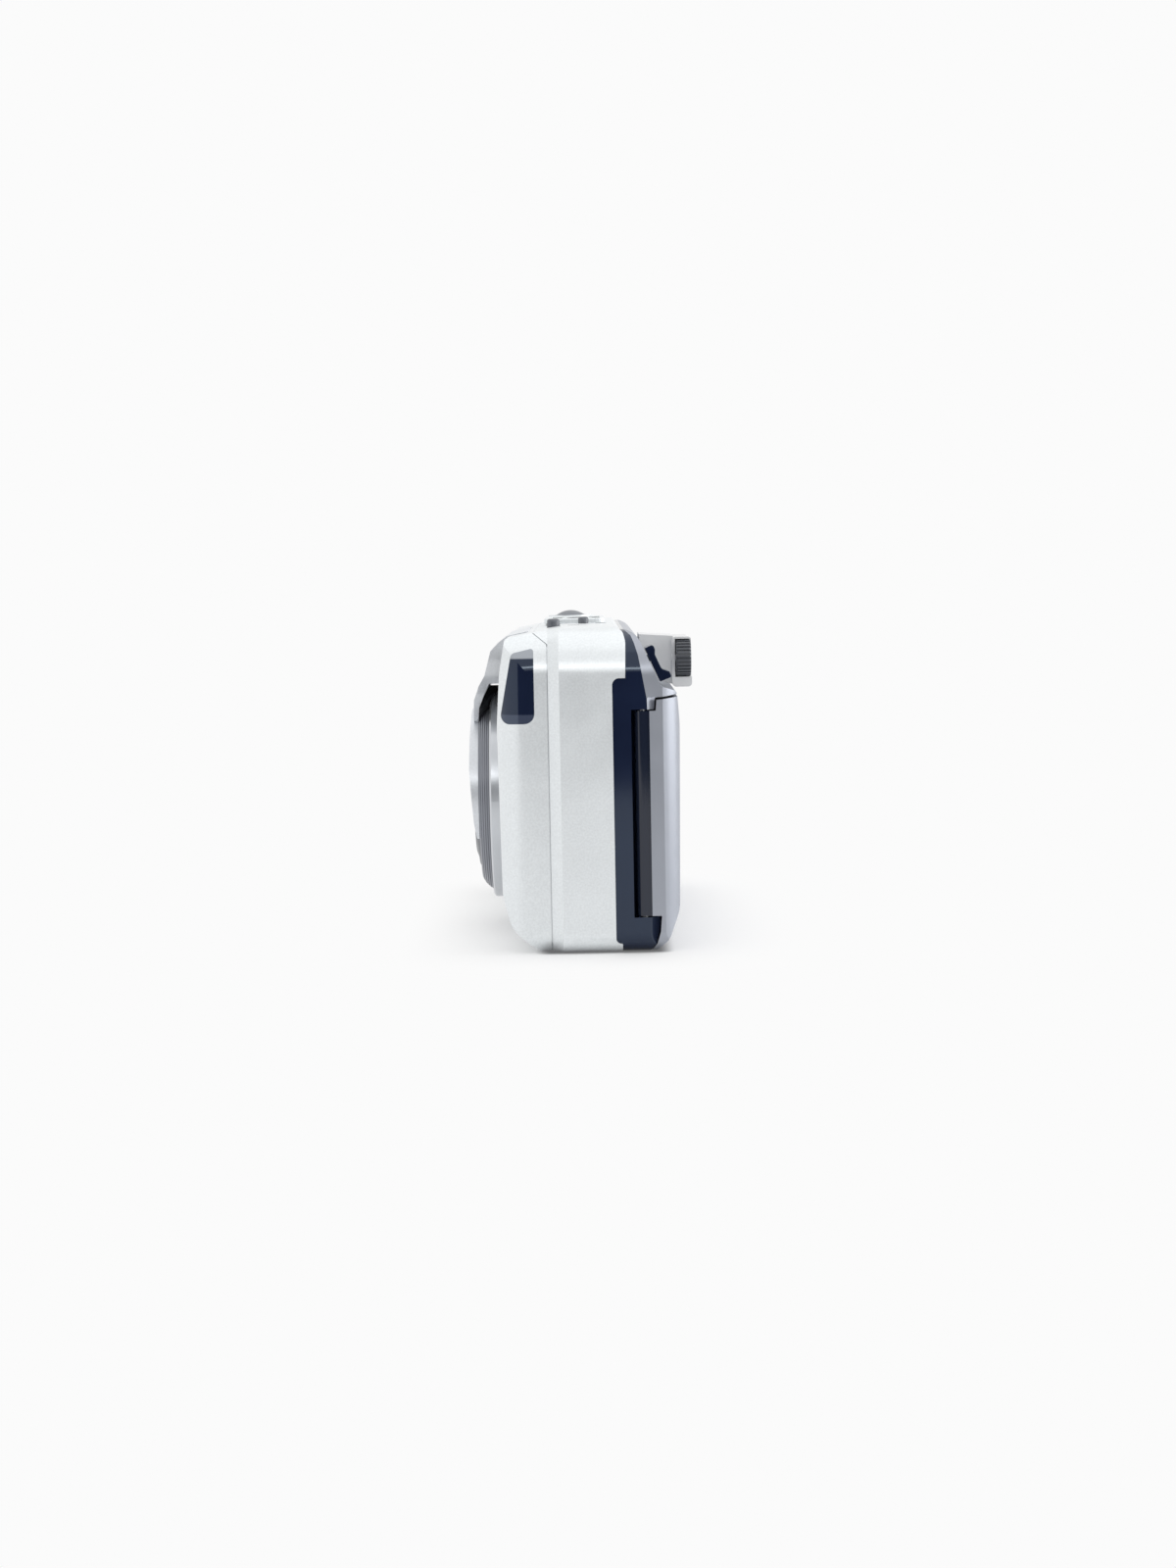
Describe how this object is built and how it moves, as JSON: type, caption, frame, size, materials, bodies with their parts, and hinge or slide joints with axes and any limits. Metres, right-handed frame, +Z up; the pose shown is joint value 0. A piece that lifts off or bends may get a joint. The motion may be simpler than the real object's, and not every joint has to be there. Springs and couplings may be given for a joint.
{
  "type": "compact film camera",
  "caption": "Compact zoom film camera: silver shell, dark film door with an end hinge, crescent bridge over a ribbed lens surround, deck display and buttons.",
  "frame": {"origin": "centre of the tripod socket's mouth, on the base plane", "axes": "+Z up, the lens faces -Y, +X towards the end with the film door's hinge (the user's left)"},
  "size_m": [0.121, 0.051, 0.0723],
  "materials": {
    "silver_paint": "satin silver paint on moulded plastic",
    "light_grey": "satin light grey paint",
    "dark_gloss": "polished navy-black plastic",
    "dark_satin": "satin dark grey paint",
    "lens_charcoal": "fine ribbed charcoal plastic",
    "barrel_grey": "satin grey paint",
    "black_plastic": "matt black moulded plastic",
    "button_grey": "satin grey plastic",
    "grip_rubber": "fine grained rubber",
    "steel": "plain pressed steel",
    "black_steel": "blackened steel",
    "brass": "turned brass",
    "white_nylon": "natural nylon",
    "optical_glass": "coated optical glass",
    "window_clear": "clear moulded plastic",
    "board_green": "solder masked laminate",
    "reflector": "polished aluminium",
    "cell_wrap": "wrapped metal can"
  },
  "bodies": {
    "camera": {"front_shell": "silver_paint", "corner_window": "dark_gloss", "flash_window": "window_clear", "main_shell": "silver_paint", "rear_body": "dark_gloss", "rear_cap": "dark_satin", "hinge_pins": "steel", "lens_surround": "lens_charcoal", "lens_bezel": "light_grey", "front_bridge": "light_grey", "front_windows": "window_clear", "grip_pad": "grip_rubber", "eyepiece_housing": "button_grey", "lens_housing": "black_plastic", "chassis": "black_plastic", "film_motor": "steel", "battery": "cell_wrap", "battery_contact": "steel", "tripod_socket": "brass", "strap_lug": "steel", "lcd_window": "window_clear", "lcd_panel": "board_green", "finder_frame": "black_plastic", "finder_optics": "optical_glass", "focus_module": "black_plastic", "circuit_boards": "board_green", "flash_reflector": "reflector", "flash_tube": "optical_glass", "flash_capacitor": "cell_wrap", "case_screws": "steel"},
    "door": {"film_door": "dark_satin", "film_window": "window_clear", "plate_spring": "steel"},
    "plate": {"pressure_plate": "black_steel"},
    "latch": {"door_latch": "dark_satin"},
    "hatch": {"battery_door": "silver_paint"},
    "shutter_key": {"shutter_button": "button_grey"},
    "flash_key": {"flash_button": "black_plastic"},
    "timer_key": {"timer_button": "black_plastic"},
    "zoom_lever": {"zoom_ring": "button_grey"},
    "diopter": {"diopter_wheel": "black_plastic"},
    "eye_lens": {"eyepiece_lens": "optical_glass"},
    "slider": {"format_slider": "dark_gloss"},
    "mask_upper": {"format_mask_upper": "black_plastic"},
    "mask_lower": {"format_mask_lower": "black_plastic"},
    "outer_tube": {"outer_barrel": "barrel_grey", "rear_lens_cell": "black_plastic", "rear_lens": "optical_glass"},
    "inner_tube": {"inner_barrel": "barrel_grey", "front_lens_cell": "black_plastic", "front_lens": "optical_glass"},
    "cover_upper": {"cover_blade_upper": "black_steel"},
    "cover_lower": {"cover_blade_lower": "black_steel"},
    "leaf_upper": {"shutter_blade_upper": "black_steel"},
    "leaf_lower": {"shutter_blade_lower": "black_steel"},
    "finder_zoom": {"finder_zoom_lens": "optical_glass"},
    "spool": {"take_up_spool": "black_plastic"},
    "idler": {"reduction_gear": "white_nylon"},
    "pinion": {"motor_pinion": "brass"},
    "fork": {"rewind_fork": "black_plastic"}
  },
  "joints": [
    {"name": "film_door_hinge", "type": "hinge", "parent": "camera", "child": "door", "pos_m": [0.0565, 0.0119, 0.0301], "axis": [0, 0, -1], "range_deg": [0, 100]},
    {"name": "pressure_plate_slide", "type": "slide", "parent": "door", "child": "plate", "axis": [0, 1, 0], "range_m": [0, 0.0007], "stiffness_N_per_m": 600, "springref_m": -0.001},
    {"name": "latch_slide", "type": "slide", "parent": "camera", "child": "latch", "axis": [0, 0, 1], "range_m": [0, 0.004], "stiffness_N_per_m": 200, "springref_m": -0.001},
    {"name": "battery_door_hinge", "type": "hinge", "parent": "camera", "child": "hatch", "pos_m": [-0.0398, -0.0002, 0.0014], "axis": [0, -1, 0], "range_deg": [0, 85]},
    {"name": "shutter_press", "type": "slide", "parent": "camera", "child": "shutter_key", "axis": [0, 0, -1], "range_m": [0, 0.0008], "stiffness_N_per_m": 300, "springref_m": -0.0005},
    {"name": "flash_press", "type": "slide", "parent": "camera", "child": "flash_key", "axis": [0, 0, -1], "range_m": [0, 0.0005], "stiffness_N_per_m": 300, "springref_m": -0.0005},
    {"name": "timer_press", "type": "slide", "parent": "camera", "child": "timer_key", "axis": [0, 0, -1], "range_m": [0, 0.0005], "stiffness_N_per_m": 300, "springref_m": -0.0005},
    {"name": "zoom_turn", "type": "hinge", "parent": "camera", "child": "zoom_lever", "pos_m": [-0.038, -0.0036, 0.0704], "axis": [0, 0, 1], "range_deg": [-20, 20], "stiffness_Nm_per_rad": 0.01},
    {"name": "eye_lens_shift", "type": "slide", "parent": "camera", "child": "eye_lens", "axis": [0, 1, 0], "range_m": [-0.0008, 0.0008]},
    {"name": "diopter_turn", "type": "hinge", "parent": "camera", "child": "diopter", "pos_m": [0.0188, 0.0223, 0.0619], "axis": [0, 1, 0], "range_deg": [-60.2, 60.2]},
    {"name": "format_slide", "type": "slide", "parent": "camera", "child": "slider", "axis": [-1, 0, 0], "range_m": [0, 0.006]},
    {"name": "mask_upper_slide", "type": "slide", "parent": "camera", "child": "mask_upper", "axis": [0, 0, -1], "range_m": [0, 0.00675]},
    {"name": "mask_lower_slide", "type": "slide", "parent": "camera", "child": "mask_lower", "axis": [0, 0, 1], "range_m": [0, 0.00675]},
    {"name": "outer_barrel_extend", "type": "slide", "parent": "camera", "child": "outer_tube", "axis": [0, -1, 0], "range_m": [0, 0.016]},
    {"name": "inner_barrel_extend", "type": "slide", "parent": "outer_tube", "child": "inner_tube", "axis": [0, -1, 0], "range_m": [0, 0.016]},
    {"name": "cover_upper_open", "type": "hinge", "parent": "inner_tube", "child": "cover_upper", "pos_m": [0.0005, -0.0241, 0.0323], "axis": [0, -1, 0], "range_deg": [0, 44.1]},
    {"name": "cover_lower_open", "type": "hinge", "parent": "inner_tube", "child": "cover_lower", "pos_m": [0.0195, -0.0241, 0.0297], "axis": [0, -1, 0], "range_deg": [0, 44.1]},
    {"name": "shutter_upper_open", "type": "hinge", "parent": "inner_tube", "child": "leaf_upper", "pos_m": [0.002, -0.0164, 0.0323], "axis": [0, -1, 0], "range_deg": [0, 38], "stiffness_Nm_per_rad": 0.0002, "springref_deg": -11.46},
    {"name": "shutter_lower_open", "type": "hinge", "parent": "inner_tube", "child": "leaf_lower", "pos_m": [0.018, -0.0164, 0.0297], "axis": [0, -1, 0], "range_deg": [0, 38]},
    {"name": "finder_zoom_shift", "type": "slide", "parent": "camera", "child": "finder_zoom", "axis": [0, 1, 0], "range_m": [0, 0.00401]},
    {"name": "spool_spin", "type": "hinge", "parent": "camera", "child": "spool", "pos_m": [0.0433, 0.0016, 0.03], "axis": [0, 0, 1], "continuous": true},
    {"name": "idler_spin", "type": "hinge", "parent": "camera", "child": "idler", "pos_m": [0.0313, 0.0016, 0.004], "axis": [0, 0, 1], "continuous": true},
    {"name": "pinion_spin", "type": "hinge", "parent": "camera", "child": "pinion", "pos_m": [0.0433, 0.0016, 0.01], "axis": [0, 0, 1], "continuous": true},
    {"name": "fork_spin", "type": "hinge", "parent": "camera", "child": "fork", "pos_m": [-0.0242, 0.0016, 0.009], "axis": [0, 0, 1], "continuous": true}
  ],
  "couplings": [
    {"joint": "diopter_turn", "follows": "eye_lens_shift", "rad_per_m": 1309},
    {"joint": "mask_upper_slide", "follows": "format_slide", "ratio": 1.1167},
    {"joint": "mask_lower_slide", "follows": "format_slide", "ratio": 1.1167},
    {"joint": "inner_barrel_extend", "follows": "outer_barrel_extend", "ratio": 1},
    {"joint": "cover_upper_open", "follows": "outer_barrel_extend", "rad_per_m": 48},
    {"joint": "cover_lower_open", "follows": "outer_barrel_extend", "rad_per_m": 48},
    {"joint": "finder_zoom_shift", "follows": "outer_barrel_extend", "ratio": 0.25},
    {"joint": "shutter_lower_open", "follows": "shutter_upper_open", "ratio": 1},
    {"joint": "idler_spin", "follows": "spool_spin", "ratio": -3},
    {"joint": "pinion_spin", "follows": "spool_spin", "ratio": 7.2857}
  ]
}
